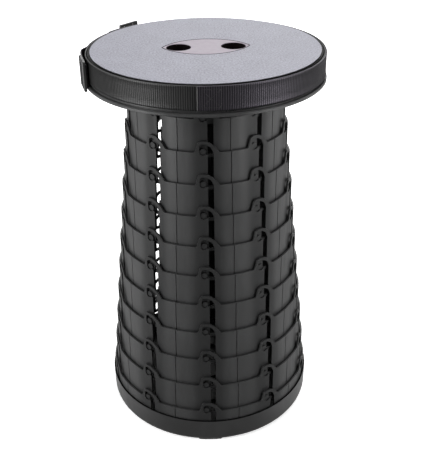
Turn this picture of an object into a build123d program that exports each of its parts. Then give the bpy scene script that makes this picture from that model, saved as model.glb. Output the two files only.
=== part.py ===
"""Telescoping camp stool: a base tray, eleven nested hook rings and a strapped lid.

Frame: millimetres, +Z up, origin on the stool's axis at floor level.
-Y is the front, where one column of hooks stands in the middle.
The stool is drawn standing at full height, with every ring locked on the one below.
"""
import os
from math import cos, radians, sin

from build123d import *

os.makedirs("parts", exist_ok=True)

# ---------------------------------------------------------------- driving dimensions
STOOL_HEIGHT = 450.0

# rings
RING_COUNT = 11
COLUMN_COUNT = 10
RING_PITCH = 35.4  # height gained by each ring
RING_STEP = 3.5  # radius lost by each ring
BASE_RING_RADIUS = 123.4  # outer radius of ring_00
WALL = 1.9
BASE_RING_EDGE = 46.8  # straight top edge of ring_00 above the floor
RING_OVERLAP = 6.4  # how far a ring's bottom stands below the edge of the ring outside it
RING_BODY = RING_PITCH + RING_OVERLAP  # bottom edge to straight top edge

# hooks, seen from outside: x to the right of the column's centre, y up from the edge
ARCH_LEFT = -9.0
ARCH_TOP = 12.6
ARCH_SHOULDER = (8.0, 7.4)
ARCH_FOOT = 13.0
POCKET_TOP = 9.2
PIN_X = -4.2
PIN_Y = 0.4
PIN_RADIUS = 3.3
PIN_CLEARANCE = 0.25
PIN_RECESS = 1.3  # pin tip behind the outer face of the ring that holds it
PIN_ROOT = 1.0  # how far a pin starts inside its own wall
SLOT_LEFT = 1.0
SLOT_RIGHT = 7.2
SLOT_BAND = 3.7  # closed band under each slot
NIB_DROP = 2.2  # the slot's upper left corner below the pin's centre
TRACK_DEPTH_LEFT = 1.1  # wall left in front of the pin's inside track
TRACK_HALF_WIDTH = 3.6
SEAM_TURN = 16.2  # degrees from a hook column to the moulding seam beside it
SEAM_WIDTH = 1.0
SEAM_DEPTH = 0.9

# base tray
TRAY_RADIUS = 125.4
TRAY_WALL = 1.7
TRAY_TOP = 32.8
TRAY_UNDERSIDE = 2.0
TRAY_FLOOR = 4.6
TRAY_CORNER = 7.0
BEAD_HEIGHT = 9.0  # snap bead that holds ring_00 in the tray
BEAD_PROUD = 0.6
BEAD_HALF = 0.8
BEAD_CLEARANCE = 0.2
RIB_COUNT = 8
RIB_HEIGHT = 4.0
RIB_THICKNESS = 2.0
HUB_RADIUS = 12.0
HOOP_RADIUS = 58.0
FOOT_COUNT = 4
FOOT_INNER = 107.0
FOOT_OUTER = 121.0
FOOT_LENGTH = 30.0
FOOT_CORNER = 7.0
FOOT_EDGE = 0.5
MIDDLE_PAD_TAPER = -10

# lid
LID_DEPTH = 31.6
LID_TURN = 3.5  # degrees between the finger holes' line and the x axis
SKIRT_INNER = 124.7
SKIRT_OUTER = 126.9
RIM_RADIUS = 131.4
RIM_HEIGHT = 3.6
PLATE = 3.3
SPOKE_DEPTH = 5.0
SPOKE_LENGTH = 20.0
SPOKE_HOOP = 50.0  # outer radius of the small hoop that joins the spokes
LIP_INNER = 125.3  # the lip round the seat disc
LIP_DROP = 1.5  # lip's top below the disc's face
DISC_RADIUS = 124.0
DISC_THICKNESS = 1.2
DISC_SHIFT = 0.4  # the disc lies a little to the right in its recess
DISC_EDGE = 0.3
LENS_HALF_LENGTH = 47.2
LENS_HALF_WIDTH = 29.0
LENS_GAP = 0.5
LENS_SHIFT = 0.8  # the insert sits a little to the right too
LENS_DEPTH = 1.6  # the insert's seat below the plate's top
LENS_TIP = 2.0
LENS_EDGE = 0.5
FINGER_RADIUS = 13.4
FINGER_SPACING = 59.2
FINGER_EDGE = 0.6
SLEEVE_WALL = 1.5
SLEEVE_CLEARANCE = 0.3
SLEEVE_DROP = 12.0

# collar and its screws
SCREW_COUNT = 5
SCREW_CIRCLE = 77.0
SCREW_RADIUS = 1.75
SCREW_CLEARANCE = 0.2
PILOT_CLEARANCE = 0.05
SCREW_HEAD = 3.5
SCREW_HEAD_HEIGHT = 2.2
SCREW_HEAD_EDGE = 1.2
SCREW_BITE = 2.6  # how far a screw goes into the lid's plate
CROSS_LENGTH = 3.6
CROSS_WIDTH = 0.8
CROSS_DEPTH = 1.2
FLANGE = 2.5
FLANGE_MARGIN = 5.0  # flange inside the circle of screws

# webbing and its two sliders
STRAP_WIDTH = 25.0
STRAP_THICKNESS = 1.6
STRAP_INNER = SKIRT_OUTER + 0.2
STRAP_BOTTOM = 423.4
SLIDER_LENGTH = 28.4
SLIDER_HEIGHT = 32.0
SLIDER_PLATE = 3.0
SLIDER_BAR = 5.2  # width of its end bars
SLIDER_OPENING = 4.2
SLIDER_RAIL = 2.2  # its top and bottom rails
SLIDER_CORNER = 1.3
SLIDER_EDGE = 0.9
OPENING_CORNER = 1.0
MIDDLE_BAR_PLATE = 1.4  # the middle bar is thinner than the frame round it
SIDE_ANGLE = -164.5  # loose slider, on the left
SIDE_STANDOFF = RIM_RADIUS + 0.2
SIDE_DROP = 2.9  # how far it hangs below the strap's middle
BACK_ANGLE = 132.2  # fixed slider, behind the lid
BACK_STANDOFF = RIM_RADIUS + 2.4
BACK_DROP = 1.0
BACK_TILT = 8.0  # its sewn side leans in towards the lid
FOLD_LENGTH = 16.0
FOLD_THICKNESS = 1.4
FOLD_GAP = 0.2
LOOP_THICKNESS = 3.6
LOOP_GAP = 0.25

# ---------------------------------------------------------------- worked-out sizes
COLUMN_ANGLE = 360 / COLUMN_COUNT
LID_TOP = STOOL_HEIGHT
LID_BOTTOM = LID_TOP - LID_DEPTH
PLATE_TOP = LID_TOP - DISC_THICKNESS
PLATE_UNDERSIDE = PLATE_TOP - PLATE
LAST_RING = RING_COUNT - 1


def ring_radius(index):
    """Outer radius of a ring; the lid's collar counts as one ring more."""
    return BASE_RING_RADIUS - RING_STEP * index


def ring_edge(index):
    """Height of a ring's straight top edge."""
    return BASE_RING_EDGE + RING_PITCH * index


def column_planes(distance, level):
    """One upright plane per hook column, facing outward, with x to the right and y up."""
    planes = []
    for column in range(COLUMN_COUNT):
        angle = radians(column * COLUMN_ANGLE - 90)
        outward = (cos(angle), sin(angle), 0)
        start = (distance * cos(angle), distance * sin(angle), level)
        planes.append(Plane(origin=start, x_dir=(-sin(angle), cos(angle), 0), z_dir=outward))
    return planes


def soften(sketch, corners):
    """Round each (x, y) corner of the sketch by its own radius."""
    for corner, radius in corners:
        fillet(sketch.vertices().sort_by_distance(corner)[0], radius)


def tube(outer, inner, bottom, top, mode=Mode.ADD):
    """A plain round wall, standing on the axis."""
    with BuildSketch(Plane.XY.offset(bottom)) as section:
        Circle(outer)
        Circle(inner, mode=Mode.SUBTRACT)
    extrude(section.sketch, amount=top - bottom, mode=mode)


# ---------------------------------------------------------------- hook outlines
def arch_outline():
    """The raised lug over a hook: steep on the left, falling away on the right."""
    foot_left = (ARCH_LEFT - 3.0, 0)
    top_left = (ARCH_LEFT, ARCH_TOP)
    top_right = (1.0, ARCH_TOP - 0.4)
    foot_right = (ARCH_FOOT, 0)
    end = ARCH_FOOT + 3.0
    points = [
        (-end, -5), (-end, 0), foot_left, top_left, top_right,
        ARCH_SHOULDER, foot_right, (end, 0), (end, -5),
    ]
    with BuildSketch(Plane.XY) as outline:
        with BuildLine():
            Polyline(*points, close=True)
        make_face()
        soften(outline, [(foot_left, 2.5), (top_left, 4.5), (top_right, 7.0)])
        soften(outline, [(ARCH_SHOULDER, 7.0), (foot_right, 3.0)])
    return outline.sketch


def hook_outline():
    """The opening: a round pocket that hooks over the pin, bent into an upright slot."""
    slot_bottom = SLOT_BAND - RING_BODY
    pocket = PIN_RADIUS + PIN_CLEARANCE
    pocket_left = PIN_X - pocket
    nib = PIN_Y - NIB_DROP
    top_left = (pocket_left, POCKET_TOP)
    top_right = (-1.0, POCKET_TOP)
    shoulder = (4.4, 5.8)
    bend = (SLOT_RIGHT, -0.6)
    points = [
        (pocket_left, PIN_Y), top_left, top_right, shoulder, bend, (SLOT_RIGHT, slot_bottom),
        (SLOT_LEFT, slot_bottom), (SLOT_LEFT, nib), (-1.5, nib), (PIN_X, PIN_Y),
    ]
    with BuildSketch(Plane.XY) as outline:
        with BuildLine():
            Polyline(*points, close=True)
        make_face()
        soften(outline, [(top_left, 3.4), (top_right, 6.0), (shoulder, 6.0), (bend, 4.0)])
        soften(outline, [((SLOT_LEFT, nib), 1.0)])
        soften(outline, [((SLOT_RIGHT, slot_bottom), 0.8), ((SLOT_LEFT, slot_bottom), 0.8)])
        with Locations((PIN_X, PIN_Y)):
            Circle(pocket)
    return outline.sketch


ARCH = arch_outline()
HOOK = hook_outline()


def add_pins(index):
    """Round pins that stand out from a ring into the pockets of the ring outside it."""
    root = ring_radius(index) - PIN_ROOT
    tip = ring_radius(index - 1) - PIN_RECESS
    with BuildSketch(*column_planes(root, ring_edge(index - 1))) as pin_ends:
        with Locations((PIN_X, PIN_Y)):
            Circle(PIN_RADIUS)
    extrude(pin_ends.sketch, amount=tip - root)


def make_arches(index):
    """The lugs of one ring, trimmed to its wall."""
    radius = ring_radius(index)
    edge = ring_edge(index)
    with BuildPart() as arches:
        with BuildSketch(*column_planes(radius - WALL - 4, edge)):
            add(ARCH)
        extrude(amount=WALL + 6)
        tube(radius, radius - WALL, edge - 10, edge + ARCH_TOP + 5, Mode.INTERSECT)
    return arches.part


def make_ring(index):
    """One hook ring of the telescoping column."""
    radius = ring_radius(index)
    edge = ring_edge(index)
    bottom = edge - RING_BODY
    lugs = make_arches(index)
    with BuildPart() as ring:
        tube(radius, radius - WALL, bottom, edge)
        add(lugs)
        # hooks and slots, cut through the wall
        with BuildSketch(*column_planes(radius - WALL - 2, edge)):
            add(HOOK)
        extrude(amount=WALL + 4, mode=Mode.SUBTRACT)
        # inside tracks, where the next ring's pins run down when the stool closes
        with BuildSketch(*column_planes(radius - WALL - 1, edge)):
            with Locations((PIN_X, PIN_Y - RING_BODY / 2)):
                Rectangle(2 * TRACK_HALF_WIDTH, RING_BODY)
        extrude(amount=WALL + 1 - TRACK_DEPTH_LEFT, mode=Mode.SUBTRACT)
        # moulding seams, shallow upright grooves between the hook columns
        with BuildSketch(Plane.XY.offset(bottom)):
            with PolarLocations(radius, COLUMN_COUNT, start_angle=SEAM_TURN - 90):
                Rectangle(2 * SEAM_DEPTH, SEAM_WIDTH)
        extrude(amount=RING_BODY + 1, mode=Mode.SUBTRACT)
        if index == 0:
            tube(radius + BEAD_PROUD, radius - WALL / 2, BEAD_HEIGHT - BEAD_HALF, BEAD_HEIGHT + BEAD_HALF)
        else:
            add_pins(index)
    return ring.part


# ---------------------------------------------------------------- base
with BuildPart() as base_tray:
    lip = TRAY_RADIUS - TRAY_WALL
    with BuildSketch(Plane.XZ) as tray_section:
        with BuildLine():
            Polyline(
                (0, TRAY_UNDERSIDE), (TRAY_RADIUS - 0.4, TRAY_UNDERSIDE), (TRAY_RADIUS, TRAY_TOP),
                (lip, TRAY_TOP), (lip, TRAY_FLOOR), (0, TRAY_FLOOR), close=True,
            )
        make_face()
        soften(tray_section, [((TRAY_RADIUS - 0.4, TRAY_UNDERSIDE), TRAY_CORNER)])
        soften(tray_section, [((TRAY_RADIUS, TRAY_TOP), 0.6)])
    revolve(axis=Axis.Z)
    # the groove that takes ring_00's snap bead
    groove_radius = BASE_RING_RADIUS + BEAD_PROUD + BEAD_CLEARANCE
    groove_half = BEAD_HALF + BEAD_CLEARANCE
    tube(groove_radius, lip - 1, BEAD_HEIGHT - groove_half, BEAD_HEIGHT + groove_half, Mode.SUBTRACT)
    # stiffening ribs on the floor, under the space that the closed rings leave
    with BuildSketch(Plane.XY.offset(TRAY_FLOOR)):
        Circle(HOOP_RADIUS)
        Circle(HOOP_RADIUS - RIB_THICKNESS, mode=Mode.SUBTRACT)
        with PolarLocations(HOOP_RADIUS / 2, RIB_COUNT):
            Rectangle(HOOP_RADIUS - RIB_THICKNESS, RIB_THICKNESS)
        Circle(HUB_RADIUS)
    extrude(amount=RIB_HEIGHT)
base_tray.part.label = "base_tray"

with BuildPart() as foot_pads:
    with BuildSketch(Plane.XZ):
        with BuildLine():
            Polyline(
                (FOOT_INNER, FOOT_EDGE), (FOOT_INNER + FOOT_EDGE, 0),
                (FOOT_OUTER - FOOT_EDGE, 0), (FOOT_OUTER, FOOT_EDGE),
                (FOOT_OUTER, TRAY_UNDERSIDE), (FOOT_INNER, TRAY_UNDERSIDE), close=True,
            )
        make_face()
    revolve(axis=Axis.Z)
    # keep four short lengths of that ring
    with BuildSketch(Plane.XY):
        with PolarLocations((FOOT_INNER + FOOT_OUTER) / 2, FOOT_COUNT):
            RectangleRounded(FOOT_OUTER - FOOT_INNER + 2, FOOT_LENGTH, FOOT_CORNER)
    extrude(amount=TRAY_UNDERSIDE, mode=Mode.INTERSECT)
    # the middle pad, which keeps the tray's floor from sagging
    with BuildSketch(Plane.XY):
        Circle(HUB_RADIUS)
    extrude(amount=TRAY_UNDERSIDE, taper=MIDDLE_PAD_TAPER)
foot_pads.part.label = "foot_pads"

# ---------------------------------------------------------------- rings
rings = {}
for number in range(RING_COUNT):
    piece = make_ring(number)
    piece.label = f"ring_{number:02d}"
    rings[piece.label] = piece

# ---------------------------------------------------------------- lid collar and screws
COLLAR_RADIUS = ring_radius(RING_COUNT)
COLLAR_BOTTOM = ring_edge(LAST_RING) - RING_OVERLAP
FLANGE_UNDERSIDE = PLATE_UNDERSIDE - FLANGE

with BuildPart() as lid_collar:
    tube(COLLAR_RADIUS, COLLAR_RADIUS - WALL, COLLAR_BOTTOM, PLATE_UNDERSIDE)
    tube(COLLAR_RADIUS - WALL / 2, SCREW_CIRCLE - FLANGE_MARGIN, FLANGE_UNDERSIDE, PLATE_UNDERSIDE)
    with BuildSketch(Plane.XY.offset(PLATE_UNDERSIDE)):
        with PolarLocations(SCREW_CIRCLE, SCREW_COUNT, start_angle=90):
            Circle(SCREW_RADIUS + SCREW_CLEARANCE)
    extrude(amount=-FLANGE, mode=Mode.SUBTRACT)
    add_pins(RING_COUNT)
lid_collar.part.label = "lid_collar"

SCREW_TOP = PLATE_UNDERSIDE + SCREW_BITE
with BuildPart() as collar_screws:
    with BuildSketch(Plane.XY.offset(SCREW_TOP)):
        with PolarLocations(SCREW_CIRCLE, SCREW_COUNT, start_angle=90):
            Circle(SCREW_RADIUS)
    extrude(amount=FLANGE_UNDERSIDE - SCREW_TOP)
    with BuildSketch(Plane.XY.offset(FLANGE_UNDERSIDE)):
        with PolarLocations(SCREW_CIRCLE, SCREW_COUNT, start_angle=90):
            Circle(SCREW_HEAD)
    extrude(amount=-SCREW_HEAD_HEIGHT)
    fillet(collar_screws.edges().group_by(Axis.Z)[0], SCREW_HEAD_EDGE)
    # cross recesses in the heads
    with BuildSketch(Plane.XY.offset(FLANGE_UNDERSIDE - SCREW_HEAD_HEIGHT)):
        with PolarLocations(SCREW_CIRCLE, SCREW_COUNT, start_angle=90):
            Rectangle(CROSS_LENGTH, CROSS_WIDTH)
            Rectangle(CROSS_WIDTH, CROSS_LENGTH)
    extrude(amount=CROSS_DEPTH, mode=Mode.SUBTRACT)
collar_screws.part.label = "collar_screws"


# ---------------------------------------------------------------- lid
def lens_outline(grow):
    """The pointed oval of the finger insert, grown by a clearance."""
    tip = LENS_HALF_LENGTH + grow
    side = LENS_HALF_WIDTH + grow
    with BuildSketch(Plane.XY) as lens:
        with BuildLine():
            ThreePointArc((-tip, 0), (0, side), (tip, 0))
            ThreePointArc((tip, 0), (0, -side), (-tip, 0))
        make_face()
        fillet(lens.vertices(), LENS_TIP)
    return Pos(LENS_SHIFT, 0) * lens.sketch.rotate(Axis.Z, LID_TURN)


def finger_circles(radius):
    """The two finger holes' circles, on the lens's long axis."""
    with Locations((LENS_SHIFT, 0)):
        with PolarLocations(FINGER_SPACING / 2, 2, start_angle=LID_TURN):
            Circle(radius)


LENS_SEAT = PLATE_TOP - LENS_DEPTH

with BuildPart() as lid:
    lip_top = LID_TOP - LIP_DROP
    with BuildSketch(Plane.XZ):
        with BuildLine():
            Polyline(
                (0, PLATE_UNDERSIDE), (SKIRT_INNER, PLATE_UNDERSIDE), (SKIRT_INNER, LID_BOTTOM),
                (RIM_RADIUS - 0.8, LID_BOTTOM), (RIM_RADIUS, LID_BOTTOM + 0.8),
                (RIM_RADIUS, LID_BOTTOM + RIM_HEIGHT - 1.0),
                (RIM_RADIUS - 1.0, LID_BOTTOM + RIM_HEIGHT),
                (SKIRT_OUTER, LID_BOTTOM + RIM_HEIGHT), (SKIRT_OUTER, lip_top - 0.8),
                (SKIRT_OUTER - 0.6, lip_top), (LIP_INNER, lip_top),
                (LIP_INNER, PLATE_TOP), (0, PLATE_TOP), close=True,
            )
        make_face()
    revolve(axis=Axis.Z)
    # seat of the finger insert
    with BuildSketch(Plane.XY.offset(PLATE_TOP)):
        add(lens_outline(LENS_GAP))
    extrude(amount=LENS_SEAT - PLATE_TOP, mode=Mode.SUBTRACT)
    with BuildSketch(Plane.XY.offset(PLATE_TOP)):
        finger_circles(FINGER_RADIUS + SLEEVE_WALL + SLEEVE_CLEARANCE)
    extrude(amount=-PLATE - 1, mode=Mode.SUBTRACT)
    # spokes that stiffen the plate inside the collar
    spoke_middle = SPOKE_HOOP - 1 + SPOKE_LENGTH / 2
    with BuildSketch(Plane.XY.offset(PLATE_UNDERSIDE)):
        with PolarLocations(spoke_middle, COLUMN_COUNT, start_angle=COLUMN_ANGLE / 2):
            Rectangle(SPOKE_LENGTH, RIB_THICKNESS)
        Circle(SPOKE_HOOP)
        Circle(SPOKE_HOOP - RIB_THICKNESS, mode=Mode.SUBTRACT)
    extrude(amount=-SPOKE_DEPTH)
    # pilot holes of the collar's screws
    with BuildSketch(Plane.XY.offset(PLATE_UNDERSIDE)):
        with PolarLocations(SCREW_CIRCLE, SCREW_COUNT, start_angle=90):
            Circle(SCREW_RADIUS + PILOT_CLEARANCE)
    extrude(amount=SCREW_BITE + 0.1, mode=Mode.SUBTRACT)
lid.part.label = "lid"

with BuildPart() as seat_disc:
    with BuildSketch(Plane.XY.offset(PLATE_TOP)):
        with Locations((DISC_SHIFT, 0)):
            Circle(DISC_RADIUS)
    extrude(amount=DISC_THICKNESS)
    chamfer(seat_disc.edges().group_by(Axis.Z)[-1], DISC_EDGE)
    with BuildSketch(Plane.XY.offset(PLATE_TOP)):
        add(lens_outline(LENS_GAP))
    extrude(amount=DISC_THICKNESS, mode=Mode.SUBTRACT)
seat_disc.part.label = "seat_disc"

with BuildPart() as finger_insert:
    with BuildSketch(Plane.XY.offset(LENS_SEAT)):
        add(lens_outline(0))
    extrude(amount=LID_TOP - LENS_SEAT)
    fillet(finger_insert.edges().group_by(Axis.Z)[-1], LENS_EDGE)
    with BuildSketch(Plane.XY.offset(LENS_SEAT)):
        finger_circles(FINGER_RADIUS + SLEEVE_WALL)
    extrude(amount=-SLEEVE_DROP)
    with BuildSketch(Plane.XY.offset(LENS_SEAT - SLEEVE_DROP)):
        finger_circles(FINGER_RADIUS)
    extrude(amount=SLEEVE_DROP + LID_TOP - LENS_SEAT, mode=Mode.SUBTRACT)
    hole_rims = finger_insert.edges().filter_by(GeomType.CIRCLE).group_by(Axis.Z)[-1]
    chamfer(hole_rims.filter_by(lambda rim: abs(rim.radius - FINGER_RADIUS) < 0.01), FINGER_EDGE)
finger_insert.part.label = "finger_insert"

# ---------------------------------------------------------------- webbing and sliders
STRAP_TOP = STRAP_BOTTOM + STRAP_WIDTH
STRAP_OUTER = STRAP_INNER + STRAP_THICKNESS

with BuildPart() as webbing_strap:
    tube(STRAP_OUTER, STRAP_INNER, STRAP_BOTTOM, STRAP_TOP)
webbing_strap.part.label = "webbing_strap"


def strap_plane(angle, distance, drop, tilt=0.0):
    """An upright plane on the lid, facing outward, at a slider's middle height."""
    start = (distance * cos(radians(angle)), distance * sin(radians(angle)))
    middle = STRAP_BOTTOM + STRAP_WIDTH / 2 - drop
    facing = radians(angle + tilt)
    outward = (cos(facing), sin(facing), 0)
    return Plane(origin=(*start, middle), x_dir=(-sin(facing), cos(facing), 0), z_dir=outward)


def make_slider(plane):
    """A tri-glide: a flat frame with two openings and a thinner bar between them."""
    window = SLIDER_HEIGHT - 2 * SLIDER_RAIL
    opening = SLIDER_LENGTH / 2 - SLIDER_BAR - SLIDER_OPENING / 2
    with BuildPart() as slider:
        with BuildSketch(plane):
            RectangleRounded(SLIDER_LENGTH, SLIDER_HEIGHT, SLIDER_CORNER)
        extrude(amount=SLIDER_PLATE)
        outer_face = slider.faces().sort_by(Axis(plane.origin, plane.z_dir))[-1]
        fillet(outer_face.edges(), SLIDER_EDGE)
        with BuildSketch(plane):
            with GridLocations(2 * opening, 0, 2, 1):
                RectangleRounded(SLIDER_OPENING, window, OPENING_CORNER)
        extrude(amount=SLIDER_PLATE, mode=Mode.SUBTRACT)
        with BuildSketch(plane.offset(MIDDLE_BAR_PLATE)):
            Rectangle(2 * opening, window)
        extrude(amount=SLIDER_PLATE, mode=Mode.SUBTRACT)
    return slider.part


def make_fold(plane, thickness):
    """A short flat length of webbing on a slider's plane."""
    with BuildPart() as fold:
        with BuildSketch(plane):
            Rectangle(FOLD_LENGTH, STRAP_WIDTH)
        extrude(amount=thickness)
    return fold.part


side_plane = strap_plane(SIDE_ANGLE, SIDE_STANDOFF, SIDE_DROP)
strap_slider = make_slider(side_plane)
strap_slider.label = "strap_slider"
# the webbing's fold over the loose slider's middle bar
slider_fold = make_fold(side_plane.offset(MIDDLE_BAR_PLATE + FOLD_GAP), FOLD_THICKNESS)
slider_fold.label = "slider_fold"
back_plane = strap_plane(BACK_ANGLE, BACK_STANDOFF, BACK_DROP, BACK_TILT)
end_slider = make_slider(back_plane)
end_slider.label = "end_slider"
# the webbing's sewn end, doubled back behind the fixed slider
strap_end = make_fold(back_plane.offset(-LOOP_THICKNESS - LOOP_GAP), LOOP_THICKNESS)
strap_end.label = "strap_end"

# ---------------------------------------------------------------- export
built = [base_tray, foot_pads, lid_collar, collar_screws, lid, seat_disc, finger_insert, webbing_strap]
pieces = [piece.part for piece in built]
pieces += [strap_slider, slider_fold, end_slider, strap_end, *rings.values()]
for piece in pieces:
    export_step(piece, f"parts/{piece.label}.step")
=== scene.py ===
"""Looks of the telescoping camp stool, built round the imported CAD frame.

Metres, +Z up, the stool's axis through the origin, -Y to the front.
"""
from math import atan2, cos, degrees, pi, radians, sin, tau
from random import Random

import bmesh
import bpy
from mathutils import Matrix, Vector
from mathutils.geometry import convex_hull_2d


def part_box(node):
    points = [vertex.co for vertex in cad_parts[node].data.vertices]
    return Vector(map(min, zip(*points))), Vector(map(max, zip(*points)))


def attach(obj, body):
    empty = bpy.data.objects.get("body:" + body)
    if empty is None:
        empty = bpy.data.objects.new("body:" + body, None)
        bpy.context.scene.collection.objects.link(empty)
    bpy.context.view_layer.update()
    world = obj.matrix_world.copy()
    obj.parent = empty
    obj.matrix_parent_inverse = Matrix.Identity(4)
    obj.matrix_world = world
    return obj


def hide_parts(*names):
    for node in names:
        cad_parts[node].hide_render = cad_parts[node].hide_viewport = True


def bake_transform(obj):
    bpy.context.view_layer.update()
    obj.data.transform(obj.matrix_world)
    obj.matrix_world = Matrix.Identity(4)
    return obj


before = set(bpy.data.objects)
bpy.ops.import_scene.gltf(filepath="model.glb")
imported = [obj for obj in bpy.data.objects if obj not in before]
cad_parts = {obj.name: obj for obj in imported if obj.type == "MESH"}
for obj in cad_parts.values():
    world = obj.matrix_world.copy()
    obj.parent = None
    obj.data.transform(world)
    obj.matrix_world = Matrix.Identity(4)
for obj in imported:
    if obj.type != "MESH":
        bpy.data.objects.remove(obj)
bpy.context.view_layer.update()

MM = 0.001
RINGS = [f"ring_{number:02d}" for number in range(11)]


# ---------------------------------------------------------------- node helpers
class Nodes:
    """A material's node tree, with short calls that add and join nodes."""

    def __init__(self, name):
        self.material = bpy.data.materials.new(name)
        self.material.use_nodes = True
        self.tree = self.material.node_tree
        self.shader = self.tree.nodes["Principled BSDF"]
        self.place = self.add("ShaderNodeTexCoord").outputs["Object"]

    def add(self, kind, settings=None, **inputs):
        """A node with its settings and inputs; an input may be a value or another node's output."""
        node = self.tree.nodes.new(kind)
        for key, value in (settings or {}).items():
            setattr(node, key, value)
        for key, value in inputs.items():
            self.feed(node.inputs[key.replace("_", " ")], value)
        return node

    def feed(self, socket, value):
        if isinstance(value, bpy.types.NodeSocket):
            self.tree.links.new(value, socket)
        else:
            socket.default_value = value

    def math(self, operation, first, second=0.0, clamp=False):
        node = self.add("ShaderNodeMath", {"operation": operation, "use_clamp": clamp})
        self.feed(node.inputs[0], first)
        self.feed(node.inputs[1], second)
        return node.outputs[0]

    def noise(self, size, detail=2.0, place=None, roughness=0.5):
        """Soft random values; size is the width of one blot, in metres."""
        node = self.add("ShaderNodeTexNoise", Scale=1 / size, Detail=detail, Roughness=roughness)
        self.feed(node.inputs["Vector"], place or self.place)
        return node.outputs["Fac"]

    def remap(self, value, low, high, to_low, to_high):
        node = self.add("ShaderNodeMapRange", {"interpolation_type": "SMOOTHSTEP"}, Value=value)
        for key, number in zip(("From Min", "From Max", "To Min", "To Max"), (low, high, to_low, to_high)):
            node.inputs[key].default_value = number
        return node.outputs["Result"]

    def mix(self, share, first, second):
        node = self.add("ShaderNodeMix", {"data_type": "RGBA"})
        self.feed(node.inputs[0], share)
        self.feed(node.inputs[6], first)
        self.feed(node.inputs[7], second)
        return node.outputs[2]

    def bump(self, height, depth, normal=None):
        """A bumped normal; depth is the height of the relief, in metres."""
        node = self.add("ShaderNodeBump", Height=height, Distance=depth)
        if normal is not None:
            self.feed(node.inputs["Normal"], normal)
        return node.outputs["Normal"]

    def worn_edges(self, radius):
        """Near 1 along convex and concave edges and 0 on flat faces."""
        rounded = self.add("ShaderNodeBevel", {"samples": 4}, Radius=radius).outputs["Normal"]
        flat = self.add("ShaderNodeNewGeometry").outputs["Normal"]
        same = self.add("ShaderNodeVectorMath", {"operation": "DOT_PRODUCT"})
        self.feed(same.inputs[0], rounded)
        self.feed(same.inputs[1], flat)
        return self.remap(same.outputs["Value"], 0.995, 0.90, 0.0, 1.0)


def grey(level, tint=(1.0, 1.0, 1.0)):
    return (level * tint[0], level * tint[1], level * tint[2], 1.0)


def moulded(name, level, tint=(1, 1, 1), roughness=0.5, depth=0.02, wear_and_highlight=0.5, coat=0.0, dust=1.4):
    """Injection-moulded plastic: fine satin grain, faint flow marks, dust and lightened edges, which stand for
    wear and, on the lid, also for a painted highlight.
    """
    n = Nodes(name)
    base = grey(level, tint)
    dusty = grey(level * dust + 0.006, tint)
    blots = n.noise(38 * MM, 4.0)
    flow = n.add("ShaderNodeMapping", Vector=n.place, Scale=(1.0, 1.0, 0.12)).outputs["Vector"]
    streaks = n.noise(5 * MM, 3.0, flow)
    cloudy = n.math("MULTIPLY", n.remap(blots, 0.4, 0.7, 0.0, 1.0), n.remap(streaks, 0.3, 0.7, 0.3, 1.0))
    colour = n.mix(n.math("MULTIPLY", cloudy, 0.5), base, dusty)
    edge_wear_and_highlight = n.math("MULTIPLY", n.worn_edges(0.5 * MM), n.remap(n.noise(9 * MM, 3.0), 0.35, 0.6, 0.35, 1.0))
    n.colour = n.mix(n.math("MULTIPLY", edge_wear_and_highlight, wear_and_highlight), colour, grey(level * 2.2 + 0.02, tint))
    n.feed(n.shader.inputs["Base Color"], n.colour)
    n.feed(n.shader.inputs["Roughness"], n.remap(streaks, 0.3, 0.7, roughness - 0.05, roughness + 0.06))
    fine = n.bump(n.noise(0.35 * MM, 3.0), depth * MM)
    n.feed(n.shader.inputs["Normal"], n.bump(n.noise(14 * MM, 2.0), 0.05 * MM, fine))
    n.shader.inputs["Coat Weight"].default_value = coat
    n.shader.inputs["Coat Roughness"].default_value = 0.3
    return n


def column_plastic(name, level, tint):
    """The rings' plastic, with painted shade: darker and duller towards the hook columns, beside the slots."""
    n = moulded(name, level, tint, roughness=0.40)
    split = n.add("ShaderNodeSeparateXYZ", Vector=n.place)
    around = n.math("ARCTAN2", split.outputs["Y"], split.outputs["X"])
    wave = n.math("COSINE", n.math("MULTIPLY", n.math("ADD", around, pi / 2), float(COLUMNS)))
    painted_shade_near_column = n.remap(wave, -0.9, 0.9, 0.0, 1.0)
    # painted shade: the colour darkens towards each hook column
    n.feed(n.shader.inputs["Base Color"], n.mix(painted_shade_near_column, n.colour, grey(level * 0.65, tint)))
    n.feed(n.shader.inputs["Specular IOR Level"], n.remap(painted_shade_near_column, 0.0, 1.0, 0.6, 0.28))
    return n.material


def shade_top(n, node, drop):
    """Black out what lies within a short drop of the node's top, where light hardly reaches."""
    split = n.add("ShaderNodeSeparateXYZ", Vector=n.place)
    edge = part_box(node)[1][2] - drop
    high = n.remap(split.outputs["Z"], edge - 0.1 * MM, edge + 0.1 * MM, 0.0, 1.0)
    n.feed(n.shader.inputs["Base Color"], n.mix(high, n.colour, grey(0.003)))
    n.feed(n.shader.inputs["Specular IOR Level"], n.remap(high, 0.0, 1.0, 0.5, 0.02))
    coat = n.shader.inputs["Coat Weight"].default_value
    n.feed(n.shader.inputs["Coat Weight"], n.remap(high, 0.0, 1.0, coat, 0.0))
    return n.material


def shadow_bead(name, level, tint):
    """A dark bead round the insert that paints the shadow in the gap there: no gloss, so it stays a dark line."""
    n = moulded(name, level, tint, roughness=0.8)
    n.shader.inputs["Specular IOR Level"].default_value = 0.08
    return n.material


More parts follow.
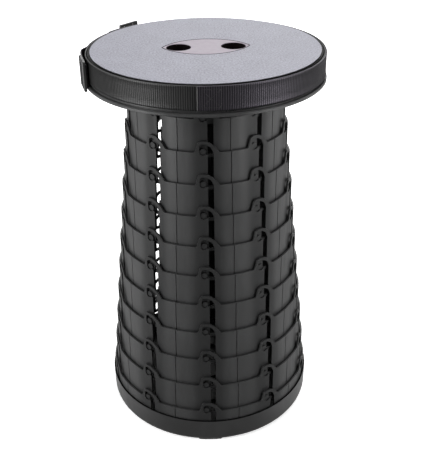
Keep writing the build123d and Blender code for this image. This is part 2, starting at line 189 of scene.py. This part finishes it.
def insert_plastic(name, level, tint):
    """The pale insert, with painted shade: the finger sleeves go dark below the rim."""
    n = moulded(name, level, tint, roughness=0.5, depth=0.006, wear_and_highlight=0.15, dust=1.02)
    split = n.add("ShaderNodeSeparateXYZ", Vector=n.place)
    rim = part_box("finger_insert")[1][2]
    painted_shade_inside = n.remap(split.outputs["Z"], rim - 0.7 * MM, rim - 0.5 * MM, 1.0, 0.0)
    # painted shade inside the finger sleeves, below the rim
    n.feed(n.shader.inputs["Base Color"], n.mix(painted_shade_inside, n.colour, grey(0.004, (1.3, 0.9, 1.0))))
    n.feed(n.shader.inputs["Specular IOR Level"], n.remap(painted_shade_inside, 0.0, 1.0, 0.5, 0.05))
    return n.material


def pebbled_sheet(name, level, tint):
    """The seat sheet: matte, with a very fine pebble grain and faint scuffs."""
    n = Nodes(name)
    speck = n.noise(2.0 * MM, 3.0, roughness=0.7)
    blots = n.noise(22 * MM, 5.0)
    shade = n.math("ADD", n.remap(speck, 0.3, 0.7, -0.8, 0.8), n.remap(blots, 0.3, 0.7, -0.1, 0.1))
    share = n.math("ADD", n.math("MULTIPLY", shade, 0.5), 0.5, clamp=True)
    colour = n.mix(share, grey(level * 0.62, tint), grey(level * 1.38, tint))
    stretched = n.add("ShaderNodeMapping", Vector=n.place, Scale=(0.06, 1.0, 1.0), Rotation=(0, 0, 0.5))
    scuffs = n.remap(n.noise(2.5 * MM, 2.0, stretched.outputs["Vector"]), 0.70, 0.80, 0.0, 0.25)
    colour = n.mix(scuffs, colour, grey(level * 0.8, tint))
    rim = n.math("MULTIPLY", n.worn_edges(0.4 * MM), 0.5)
    colour = n.mix(rim, colour, grey(min(level * 1.5, 0.9), tint))
    split = n.add("ShaderNodeSeparateXYZ", Vector=n.place)
    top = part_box("seat_disc")[1][2]
    below_top_face = n.remap(split.outputs["Z"], top - 0.45 * MM, top - 0.3 * MM, 1.0, 0.0)
    # darker below the top face, on the sheet's edge
    colour = n.mix(below_top_face, colour, grey(0.02))
    n.feed(n.shader.inputs["Base Color"], colour)
    n.shader.inputs["Roughness"].default_value = 0.55
    cells = n.add("ShaderNodeTexVoronoi", {"feature": "SMOOTH_F1"}, Vector=n.place, Scale=1 / (0.8 * MM))
    n.feed(n.shader.inputs["Normal"], n.bump(cells.outputs["Distance"], 0.06 * MM))
    return n.material


def woven(name, level, gloss, tint=(1, 1, 1)):
    """Ribbed polyester webbing: painted shade in the furrows between the modelled ribs, crossing threads, faint
    fading, and a painted highlight along the top edge.
    """
    n = Nodes(name)
    crest = n.add("ShaderNodeAttribute", {"attribute_name": "rib"}).outputs["Fac"]
    split = n.add("ShaderNodeSeparateXYZ", Vector=n.place)
    thread_wave = n.math("SINE", n.math("MULTIPLY", split.outputs["Z"], tau / (0.75 * MM)))
    threads = n.math("MULTIPLY", n.math("ADD", n.math("MULTIPLY", thread_wave, 0.5), 0.5), crest)
    upright = n.add("ShaderNodeMapping", Vector=n.place, Scale=(1.0, 1.0, 0.08)).outputs["Vector"]
    uneven = n.remap(n.noise(2.2 * MM, 2.0, upright), 0.3, 0.7, 0.0, 1.0)
    # painted shade: the furrows between the ribs are darker
    colour = n.mix(crest, grey(level * 0.5, tint), grey(level, tint))
    colour = n.mix(n.math("MULTIPLY", threads, 0.4), colour, grey(level * 1.8, tint))
    colour = n.mix(n.math("MULTIPLY", uneven, 0.3), colour, grey(level * 1.8, tint))
    # painted highlight along the strap's top edge, in colour and gloss
    top_edge_highlight = n.add("ShaderNodeAttribute", {"attribute_name": "top_edge_highlight"}).outputs["Fac"]
    colour = n.mix(n.math("MULTIPLY", top_edge_highlight, 0.9), colour, grey(level + 0.045, tint))
    n.feed(n.shader.inputs["Base Color"], colour)
    n.shader.inputs["Roughness"].default_value = 0.42
    facing = n.add("ShaderNodeLayerWeight", Blend=0.5).outputs["Facing"]
    crest_gloss = n.remap(crest, 0.0, 1.0, 0.3 * gloss, gloss)
    shine = n.math("MULTIPLY", crest_gloss, n.remap(facing, 0.15, 0.6, 1.0, 0.25))
    shine = n.math("MAXIMUM", shine, n.math("MULTIPLY", top_edge_highlight, 0.5))
    n.feed(n.shader.inputs["Specular IOR Level"], shine)
    n.feed(n.shader.inputs["Specular Tint"], grey(1.0, tint))
    n.shader.inputs["Sheen Weight"].default_value = 0.02
    n.shader.inputs["Sheen Roughness"].default_value = 0.4
    n.feed(n.shader.inputs["Normal"], n.bump(n.noise(0.5 * MM, 3.0), 0.02 * MM, n.bump(threads, 0.03 * MM)))
    return n.material


def thread(name, level):
    """Twisted sewing thread."""
    n = Nodes(name)
    twist = n.add("ShaderNodeTexWave", {"bands_direction": "DIAGONAL"}, Vector=n.place, Scale=900.0)
    n.feed(n.shader.inputs["Base Color"], n.mix(twist.outputs["Fac"], grey(level * 0.6), grey(level * 1.4)))
    n.shader.inputs["Roughness"].default_value = 0.6
    n.feed(n.shader.inputs["Normal"], n.bump(twist.outputs["Fac"], 0.05 * MM))
    return n.material


def zinc(name):
    """Plated steel of the screws, with dull patches."""
    n = Nodes(name)
    patches = n.noise(1.2 * MM, 3.0)
    n.feed(n.shader.inputs["Base Color"], n.mix(patches, grey(0.42), grey(0.62, (1.0, 0.98, 0.94))))
    n.shader.inputs["Metallic"].default_value = 1.0
    n.feed(n.shader.inputs["Roughness"], n.remap(patches, 0.3, 0.7, 0.28, 0.45))
    n.feed(n.shader.inputs["Normal"], n.bump(n.noise(0.3 * MM, 2.0), 0.01 * MM))
    return n.material


def rubber(name):
    """Soft black pads, dulled and dusty where they touch the ground."""
    n = Nodes(name)
    dust = n.remap(n.noise(3 * MM, 4.0), 0.4, 0.65, 0.0, 0.6)
    n.feed(n.shader.inputs["Base Color"], n.mix(dust, grey(0.014), grey(0.05, (1.0, 0.97, 0.92))))
    n.shader.inputs["Roughness"].default_value = 0.8
    n.feed(n.shader.inputs["Normal"], n.bump(n.noise(0.4 * MM, 3.0), 0.04 * MM))
    return n.material


# ---------------------------------------------------------------- sizes worked out from the frame
COLUMNS = 10
STRAP_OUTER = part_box("webbing_strap")[1][0]
STRAP_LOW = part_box("webbing_strap")[0][2]
STRAP_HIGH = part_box("webbing_strap")[1][2]
STRAP_WIDTH = STRAP_HIGH - STRAP_LOW
STRAP_MIDDLE = (STRAP_HIGH + STRAP_LOW) / 2
RIB_PITCH = 2.26 * MM
STEPS_PER_RIB = 6
RELIEF = 0.06 * MM
GAP_SHADOW_MIDDLE = 0.25 * MM  # the dark bead that paints the shadow round the insert, beyond the insert's wall
GAP_SHADOW_WIDTH = 1.6 * MM
LAYER = 1.3 * MM  # thickness of one layer of webbing

# ---------------------------------------------------------------- materials
RING = column_plastic("ring_moulded", 0.025, (0.99, 1.0, 1.01))
TRAY = shade_top(moulded("tray_moulded", 0.011, (1.0, 0.99, 1.0), roughness=0.34, coat=0.6), "base_tray", 0.6 * MM)
# the lid's strong edge lightening is partly wear and partly a painted highlight along its rim
LID = shade_top(moulded("lid_moulded", 0.026, (0.99, 1.0, 1.01), roughness=0.36, wear_and_highlight=0.8), "lid", 1.2 * MM)
GLIDE = moulded("slider_moulded", 0.024, roughness=0.33, depth=0.01, coat=0.2).material
INSERT = insert_plastic("insert_moulded", 0.34, (1.06, 0.93, 1.08))
SHEET = pebbled_sheet("seat_sheet_pebbled", 0.33, (0.97, 0.97, 1.13))
WEBBING = woven("webbing_woven", 0.008, 0.48)
WEBBING_TOP = woven("webbing_woven_outer", 0.008, 0.6, (1.04, 0.96, 1.12))
# the sealed end is coloured lighter than the webbing: a painted highlight on the raised end
SEALED_AND_HIGHLIGHT = thread("webbing_sealed_end", 0.05)
STITCH = thread("stitch_thread", 0.014)
# painted shadow: a dark bead in the gap round the finger insert
GAP_SHADOW = shadow_bead("insert_gap_shadow", 0.02, (1.1, 0.8, 1.1))
ZINC = zinc("screw_zinc")
RUBBER = rubber("foot_rubber_dusty")


# ---------------------------------------------------------------- CAD nodes
def finish_node(name, material, edge=0.3):
    """Give a CAD node its material and small rounded edges that catch the light."""
    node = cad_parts[name]
    node.data.materials.clear()
    node.data.materials.append(material)
    weld = node.modifiers.new("weld", "WELD")
    weld.merge_threshold = 0.005 * MM
    bevel = node.modifiers.new("edges", "BEVEL")
    bevel.width = edge * MM
    bevel.segments = 2
    bevel.limit_method = "ANGLE"
    bevel.angle_limit = radians(40)
    bevel.use_clamp_overlap = True
    bevel.harden_normals = False
    normals = node.modifiers.new("normals", "WEIGHTED_NORMAL")
    normals.keep_sharp = False
    normals.weight = 90


for ring_name in RINGS + ["lid_collar"]:
    finish_node(ring_name, RING, 0.45)
finish_node("base_tray", TRAY)
finish_node("lid", LID, 0.25)
finish_node("seat_disc", SHEET, 0.1)
finish_node("finger_insert", INSERT, 0.15)
finish_node("collar_screws", ZINC, 0.08)
finish_node("foot_pads", RUBBER, 0.2)
finish_node("strap_slider", GLIDE, 0.2)
finish_node("end_slider", GLIDE, 0.2)


# ---------------------------------------------------------------- webbing
def gap_shadow_mesh():
    """A thin dark bead in the gap round the finger insert, a painted shadow for that gap."""
    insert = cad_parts["finger_insert"].data
    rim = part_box("finger_insert")[1][2]
    wall = [vertex.co.to_2d() for vertex in insert.vertices if rim - 1.3 * MM < vertex.co.z < rim - 0.3 * MM]
    outline = [wall[corner] for corner in convex_hull_2d(wall)]
    outline = [Vector((spot.x, spot.y, 0)) for spot in outline]
    line = evenly(outline + outline[:1], 0.8 * MM)[:-1]
    across = [(-0.5, -0.6), (-0.4, 0.06), (0.0, 0.12), (0.4, 0.06), (0.5, -0.6)]
    vertices = []
    count = len(line)
    for number, spot in enumerate(line):
        along = (line[(number + 1) % count] - line[number - 1]).normalized()
        outward = along.cross(Vector((0, 0, 1)))
        outward *= 1 if outward.dot(spot) > 0 else -1
        for out, up in across:
            vertices.append(spot + outward * (GAP_SHADOW_MIDDLE + out * GAP_SHADOW_WIDTH) + Vector((0, 0, rim + up * MM)))
    size = len(across)
    faces = []
    for number in range(count):
        here = number * size
        there = (number + 1) % count * size
        for corner in range(size):
            following = (corner + 1) % size
            faces.append((here + corner, there + corner, there + following, here + following))
    mesh = bpy.data.meshes.new("insert_gap_shadow")
    mesh.from_pydata(vertices, [], faces)
    return mesh


def polar(angle, radius, height):
    """A point round the lid; the angle is in degrees."""
    return Vector((radius * cos(radians(angle)), radius * sin(radians(angle)), height))


def ease(value, low, high):
    """0 below low, 1 above high, smooth between them."""
    t = min(max((value - low) / (high - low), 0.0), 1.0)
    return t * t * (3 - 2 * t)


def evenly(points, step):
    """The same line with its points the same small step apart."""
    lengths = [0.0]
    for first, second in zip(points, points[1:]):
        lengths.append(lengths[-1] + (second - first).length)
    count = max(round(lengths[-1] / step), 2)
    spaced = []
    place = 0
    for number in range(count + 1):
        wanted = lengths[-1] * number / count
        while place < len(lengths) - 2 and lengths[place + 1] < wanted:
            place += 1
        share = (wanted - lengths[place]) / (lengths[place + 1] - lengths[place])
        spaced.append(points[place].lerp(points[place + 1], min(max(share, 0.0), 1.0)))
    return spaced


def smooth_line(points, pieces=16):
    """A Catmull-Rom curve through the points."""
    ends = [points[0] * 2 - points[1], *points, points[-1] * 2 - points[-2]]
    line = []
    for a, b, c, d in zip(ends, ends[1:], ends[2:], ends[3:]):
        for number in range(pieces):
            t = number / pieces
            line.append(0.5 * (2 * b + (c - a) * t + (2 * a - 5 * b + 4 * c - d) * t * t
                               + (3 * b - a - 3 * c + d) * t * t * t))
    return line + [points[-1]]


def strap_section(thickness, width):
    """Webbing cut across: (outward, upward, share of the rib's relief) for each corner."""
    half = thickness / 2
    bead = 0.22 * MM
    outer = [(half, -0.465, 0.8), (half + bead, -0.445, 0.8), (half + bead, -0.425, 0.8), (half, -0.40, 1.0)]
    outer += [(half, -0.2, 1.0), (half, 0.0, 1.0), (half, 0.2, 1.0)]
    outer += [(half, 0.40, 1.0), (half + bead, 0.425, 0.8), (half + bead, 0.445, 0.8), (half, 0.465, 0.8)]
    edge = [(half * 0.6, 0.49, 0.4), (0.0, 0.5, 0.2), (-half * 0.6, 0.49, 0.2)]
    inner = [(-half, 0.45, 0.5), (-half, 0.0, 0.5), (-half, -0.45, 0.5)]
    below = [(out, -up, rib) for out, up, rib in reversed(edge)]
    return [(out, up * width, rib) for out, up, rib in outer + edge + inner + below]


def webbing(name, line, material, body, seed, thickness=LAYER, width=STRAP_WIDTH, closed=False):
    """A ribbed strap swept along a line of points, a few to each rib."""
    random = Random(seed)
    section = strap_section(thickness, width)
    count = len(line)
    vertices = []
    crests = []
    top_edge_highlight = []
    relief = RELIEF
    for number, point in enumerate(line):
        before = line[(number - 1) % count] if closed else line[max(number - 1, 0)]
        after = line[(number + 1) % count] if closed else line[min(number + 1, count - 1)]
        along = (after - before).normalized()
        outward = along.cross(Vector((0, 0, 1))).normalized()
        if number % STEPS_PER_RIB == 0:
            relief = RELIEF * random.uniform(0.7, 1.3)
        wave = cos(tau * number / STEPS_PER_RIB)
        rib = relief * wave
        for out, up, share in section:
            side = 1 if out >= 0 else -1
            vertices.append(point + outward * (out + side * rib * share) + Vector((0, 0, up)))
            crests.append(0.5 + 0.5 * wave)
            # marks the top edge, where the highlight is painted
            top_edge_highlight.append(1.0 if up > 0.48 * width else 0.0)
    size = len(section)
    faces = []
    for number in range(count if closed else count - 1):
        here = number * size
        there = (number + 1) % count * size
        for corner in range(size):
            following = (corner + 1) % size
            faces.append((here + corner, there + corner, there + following, here + following))
    if not closed:
        faces.append(tuple(range(size)))
        faces.append(tuple(reversed(range((count - 1) * size, count * size))))
    mesh = bpy.data.meshes.new(name)
    mesh.from_pydata(vertices, [], faces)
    shape = bmesh.new()
    shape.from_mesh(mesh)
    bmesh.ops.recalc_face_normals(shape, faces=shape.faces)
    shape.to_mesh(mesh)
    shape.free()
    mesh.attributes.new("rib", "FLOAT", "POINT").data.foreach_set("value", crests)
    mesh.attributes.new("top_edge_highlight", "FLOAT", "POINT").data.foreach_set("value", top_edge_highlight)
    return add_piece(name, mesh, material, body)


def add_piece(name, mesh, material, body):
    """A smooth-shaded object for the mesh, riding on a CAD body unless body is None."""
    mesh.materials.append(material)
    mesh.shade_smooth()
    piece = bpy.data.objects.new(name, mesh)
    bpy.context.collection.objects.link(piece)
    if body:
        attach(piece, body)
    return piece


def round_line(start, end, radius, height):
    """Points round the lid; radius and height are functions of the angle in degrees."""
    count = 720
    angles = [start + (end - start) * number / count for number in range(count + 1)]
    points = [polar(angle, radius(angle), height(angle)) for angle in angles]
    return evenly(points, RIB_PITCH / STEPS_PER_RIB)


class Slider:
    """Where a slider stands: its directions, and how near and far its plate reaches."""

    def __init__(self, node):
        low, high = (Vector(corner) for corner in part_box(node))
        self.middle = (low + high) / 2
        self.angle = degrees(atan2(self.middle.y, self.middle.x))
        spots = [vertex.co - self.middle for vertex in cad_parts[node].data.vertices]
        spread = sum(spot.x * spot.y for spot in spots), sum(spot.x ** 2 - spot.y ** 2 for spot in spots)
        lie = atan2(2 * spread[0], spread[1]) / 2
        self.along = Vector((cos(lie), sin(lie), 0))
        self.outward = Vector((sin(lie), -cos(lie), 0))
        if self.outward.dot(self.middle) < 0:
            self.along = -self.along
            self.outward = -self.outward
        depths = [self.outward.dot(spot + self.middle) for spot in spots]
        self.inner = min(depths)
        self.outer = max(depths)

    def point(self, along, distance, height=0.0):
        """A point beside the slider: millimetres along the strap, metres outward from the axis."""
        sideways = self.along * (self.along.dot(self.middle) + along * MM)
        return self.outward * distance + sideways + Vector((0, 0, self.middle.z + height))


SIDE = Slider("strap_slider")
BACK = Slider("end_slider")
FREE_END = -93.6  # degrees, where the outer layer ends at the front
TAIL_START = 160.0  # degrees, where the outer layer becomes the blended tail
OUTER_LAYER = STRAP_OUTER + LAYER / 2 + 0.05 * MM
LOOP_RISE = 0.8 * MM  # the back loop's middle above its slider's middle


def inner_height(angle):
    """The inner layer sits a little high at the front left."""
    high = ease(angle, -185, -150) - ease(angle, -95, -80)
    return STRAP_MIDDLE + 1.0 * MM * high


def outer_height(angle):
    """The outer layer sits a little high at the front, less so towards the right."""
    return STRAP_MIDDLE + 1.3 * MM - 0.9 * MM * ease(angle, -60, 0) - 0.4 * MM * ease(angle, 20, 60)


def outer_radius(angle):
    """The outer layer hugs the inner one; its free end stands off slightly."""
    lifted = 1 - ease(angle, FREE_END, FREE_END + 4)
    return OUTER_LAYER + 0.5 * MM * lifted


def tail_line():
    """From the outer layer, under the slider's near bar, over its middle bar and down again."""
    hug = OUTER_LAYER
    under = SIDE.inner - 0.8 * MM
    over = SIDE.outer - 0.85 * MM
    turn = SIDE.angle % 360
    heights = outer_height(90) - SIDE.middle.z
    points = [polar(angle, hug, outer_height(90)) for angle in (TAIL_START, 165, 170, 175)]
    points += [SIDE.point(tan_offset(180.5 - turn, hug), hug * 0.998, heights)]
    points += [SIDE.point(-12.5, under, 0.4 * MM), SIDE.point(-9.2, under, 0.2 * MM)]
    points += [SIDE.point(-6.9, (under + over) / 2), SIDE.point(-4.6, over), SIDE.point(0, over + 0.1 * MM)]
    points += [SIDE.point(4.6, over), SIDE.point(6.9, (under + over) / 2), SIDE.point(9.2, under)]
    points += [SIDE.point(12.8, under - 0.2 * MM)]
    return evenly(smooth_line(points), RIB_PITCH / STEPS_PER_RIB)


def tan_offset(turn, radius):
    """Millimetres along a slider's plate for a turn in degrees round the axis."""
    return radius * sin(radians(turn)) / MM


def loop_line():
    """A sewn loop: flat legs on the strap, through the back slider and round its middle bar."""
    low = OUTER_LAYER + LAYER + 0.1 * MM
    high = low + LAYER + 0.1 * MM
    level = BACK.middle.z + LOOP_RISE
    under = BACK.inner - 0.8 * MM
    over = BACK.outer - 0.85 * MM
    stop = BACK.angle + 15.0
    places = [(9.4, BACK.inner + 0.1 * MM), (7.0, (BACK.inner + over) / 2), (4.6, over), (0, over + 0.1 * MM)]
    places += [(-4.6, over), (-6.6, (under + over) / 2 + 0.4 * MM), (-6.2, under + 0.5 * MM)]
    places += [(-4.4, under - 0.2 * MM), (0, under - 0.2 * MM), (4.6, under - 0.4 * MM)]
    points = [polar(angle, high, level) for angle in (stop, stop - 3, stop - 5.5)]
    points += [BACK.point(along, distance, LOOP_RISE) for along, distance in places]
    points += [polar(angle, low, level) for angle in (stop - 8.5, stop - 5.5, stop - 3, stop)]
    return evenly(smooth_line(points), RIB_PITCH / STEPS_PER_RIB)


def add_straps():
    """The carrying webbing: two turns round the lid, with a slider on each sewn or threaded end."""
    inner = round_line(-180, 180, lambda angle: STRAP_OUTER - LAYER / 2, inner_height)
    band = webbing("webbing_inner_turn", inner[:-1], WEBBING, "lid_body", seed=3, closed=True)
    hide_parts("webbing_strap")
    outer = round_line(FREE_END, TAIL_START, outer_radius, outer_height)
    webbing("webbing_outer_turn", outer, WEBBING_TOP, "lid_body", seed=5)
    tail = webbing("webbing_tail", tail_line(), WEBBING_TOP, None, seed=7, thickness=1.2 * MM)
    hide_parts("slider_fold")
    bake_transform(tail)
    loop = webbing("webbing_loop", loop_line(), WEBBING, "lid_body", seed=11, thickness=1.2 * MM)
    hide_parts("strap_end")


add_straps()
# the painted shadow in the gap round the insert
add_piece("insert_gap_shadow", gap_shadow_mesh(), GAP_SHADOW, "lid_body")


# ---------------------------------------------------------------- stitches
def add_stitches(name, stitches, body):
    """Short raised threads; each stitch is (middle, direction, outward, length)."""
    shape = bmesh.new()
    for middle, direction, outward, length in stitches:
        across = outward.cross(direction)
        turn = Matrix((direction, across, outward)).transposed().to_4x4()
        size = Matrix.Diagonal((length / 2, 0.28 * MM, 0.22 * MM, 1.0))
        place = Matrix.Translation(middle) @ turn @ size
        bmesh.ops.create_uvsphere(shape, u_segments=8, v_segments=6, radius=1.0, matrix=place)
    mesh = bpy.data.meshes.new(name)
    shape.to_mesh(mesh)
    shape.free()
    return add_piece(name, mesh, STITCH, body)


def stitch_line(start, end, middle, radius, pitch=2.6 * MM):
    """Stitches on the strap from one (angle, height) to another, round the lid."""
    def spot(share):
        angle = start[0] + (end[0] - start[0]) * share
        return polar(angle, radius, middle + (start[1] + (end[1] - start[1]) * share) * MM)
    length = (spot(1.0) - spot(0.0)).length
    count = max(round(length / pitch), 1)
    stitches = []
    for number in range(count):
        first, last = spot((number + 0.14) / count), spot((number + 0.86) / count)
        centre = (first + last) / 2
        outward = Vector((centre.x, centre.y, 0)).normalized()
        direction = (last - first).normalized()
        outward = (outward - direction * outward.dot(direction)).normalized()
        stitches.append((centre, direction, outward, (last - first).length))
    return stitches


def box_and_cross(left, right, half_height, middle, radius):
    """The usual sewn box with a cross in it."""
    corners = [(left, -half_height), (right, -half_height), (right, half_height), (left, half_height)]
    stitches = []
    for first, second in zip(corners, corners[1:] + corners[:1]):
        stitches += stitch_line(first, second, middle, radius)
    stitches += stitch_line(corners[0], corners[2], middle, radius)
    stitches += stitch_line(corners[1], corners[3], middle, radius)
    return stitches


def add_sealed_end():
    """The free end's melted edge, a thin bead across the webbing, coloured lighter than the webbing as a painted
    highlight along the end.
    """
    shape = bmesh.new()
    middle = polar(FREE_END, outer_radius(FREE_END) + 0.45 * MM, outer_height(FREE_END))
    size = Matrix.Diagonal((0.55 * MM, 0.55 * MM, 0.49 * STRAP_WIDTH, 1.0))
    bmesh.ops.create_uvsphere(shape, u_segments=12, v_segments=24, radius=1.0)
    for corner in shape.verts:
        corner.co.z = max(min(corner.co.z * 1.5, 1.0), -1.0)
    bmesh.ops.transform(shape, matrix=Matrix.Translation(middle) @ size, verts=shape.verts)
    mesh = bpy.data.meshes.new("webbing_sealed_end")
    shape.to_mesh(mesh)
    shape.free()
    add_piece("webbing_sealed_end", mesh, SEALED_AND_HIGHLIGHT, "lid_body")


def add_sewing():
    """A crossed box holds the free end at the front, and close rows hold the loop at the back."""
    face = OUTER_LAYER + LAYER / 2 + 0.1 * MM
    front = box_and_cross(FREE_END + 1.6, FREE_END + 10.0, 9.0, outer_height(FREE_END), face)
    add_stitches("stitches_front", front, "lid_body")
    loop_face = OUTER_LAYER + 2.5 * LAYER + 0.25 * MM
    rows = []
    for offset in (9.6, 10.6, 11.6, 12.6, 13.6):
        rows += stitch_line((BACK.angle + offset, -10.0), (BACK.angle + offset, 10.0), BACK.middle.z, loop_face)
    add_stitches("stitches_back", rows, "lid_body")


add_sewing()
add_sealed_end()


# ---------------------------------------------------------------- stage
def add_stage():
    """A pale floor, near white to the camera, that throws only a little light back up."""
    half = 30.0
    corners = [(-half, -half, 0), (half, -half, 0), (half, half, 0), (-half, half, 0)]
    mesh = bpy.data.meshes.new("floor")
    mesh.from_pydata(corners, [], [(0, 1, 2, 3)])
    floor = bpy.data.objects.new("floor", mesh)
    bpy.context.collection.objects.link(floor)
    n = Nodes("pale_floor")
    seen = n.add("ShaderNodeLightPath").outputs["Is Camera Ray"]
    mottle = n.remap(n.noise(0.4, 3.0), 0.3, 0.7, 0.90, 0.93)
    pale = n.add("ShaderNodeCombineColor", Red=mottle, Green=mottle, Blue=mottle).outputs["Color"]
    n.shader.inputs["Emission Color"].default_value = grey(1.0)
    away = n.add("ShaderNodeVectorMath", {"operation": "LENGTH"})
    n.feed(away.inputs[0], n.place)
    split = n.add("ShaderNodeSeparateXYZ", Vector=n.place)
    ahead = n.math("DIVIDE", split.outputs["Y"], away.outputs["Value"])
    bounce = n.mix(n.remap(ahead, -0.95, -0.5, 1.0, 0.0), grey(0.50), grey(0.26))
    n.feed(n.shader.inputs["Base Color"], n.mix(seen, bounce, pale))
    glow = n.remap(away.outputs["Value"], 0.25, 0.8, 0.45, 1.0)
    n.feed(n.shader.inputs["Emission Strength"], n.math("MULTIPLY", seen, glow))
    n.shader.inputs["Roughness"].default_value = 0.9
    n.shader.inputs["Specular IOR Level"].default_value = 0.1
    mesh.materials.append(n.material)


def add_world(seen, light, front):
    """White behind the object; weaker light all round, dimmest from the camera's side."""
    world = bpy.data.worlds.new("studio")
    bpy.context.scene.world = world
    world.use_nodes = True
    tree = world.node_tree
    background = tree.nodes["Background"]
    path = tree.nodes.new("ShaderNodeLightPath")
    direction = tree.nodes.new("ShaderNodeTexCoord")
    split = tree.nodes.new("ShaderNodeSeparateXYZ")
    tree.links.new(direction.outputs["Generated"], split.inputs[0])
    dim = tree.nodes.new("ShaderNodeMapRange")
    dim.interpolation_type = "SMOOTHSTEP"
    for key, number in zip(("From Min", "From Max", "To Min", "To Max"), (-0.95, -0.2, front, light)):
        dim.inputs[key].default_value = number
    tree.links.new(split.outputs["Y"], dim.inputs["Value"])
    level = tree.nodes.new("ShaderNodeMix")
    tree.links.new(path.outputs["Is Camera Ray"], level.inputs[0])
    tree.links.new(dim.outputs["Result"], level.inputs[2])
    level.inputs[3].default_value = seen
    background.inputs["Color"].default_value = (1, 1, 1, 1)
    tree.links.new(level.outputs[0], background.inputs["Strength"])


def add_softbox(name, place, size, power, target=(0, 0, 0.25)):
    """A large rectangular lamp that faces the target."""
    lamp = bpy.data.lights.new(name, "AREA")
    lamp.shape = "RECTANGLE"
    lamp.size = size[0]
    lamp.size_y = size[1]
    lamp.energy = power
    holder = bpy.data.objects.new(name, lamp)
    bpy.context.collection.objects.link(holder)
    holder.location = place
    holder.rotation_euler = (Vector(target) - Vector(place)).to_track_quat("-Z", "Y").to_euler()


def add_camera():
    """The viewing angle: in front of the stool, above it and looking down."""
    data = bpy.data.cameras.new("camera")
    data.sensor_width = 36.0
    data.lens = 63.04
    data.clip_start = 0.05
    camera = bpy.data.objects.new("camera", data)
    bpy.context.collection.objects.link(camera)
    turn = Matrix.Rotation(radians(-0.4), 4, "Z")
    tilt = Matrix.Rotation(radians(90 - 28.73), 4, "X")
    roll = Matrix.Rotation(radians(-0.58), 4, "Z")
    camera.matrix_world = Matrix.Translation((0, -0.8355, 0.6888)) @ turn @ tilt @ roll
    bpy.context.scene.camera = camera


add_stage()
add_world(seen=1.0, light=0.22, front=0.03)
add_softbox("top_light", (0.4, 0.8, 1.8), (1.6, 1.6), 13.0)
add_softbox("left_light", (-1.3, -0.75, 0.6), (0.8, 1.6), 35)
add_softbox("right_light", (1.25, -0.72, 0.6), (0.7, 1.6), 23)
add_softbox("right_edge_light", (1.6, 0.45, 0.6), (0.7, 1.6), 9)
add_softbox("left_edge_light", (-1.6, 0.45, 0.6), (0.7, 1.6), 7)
add_softbox("back_light", (0.3, 1.8, 0.8), (1.6, 1.0), 10)
add_camera()
bpy.context.scene.view_settings.view_transform = "Standard"
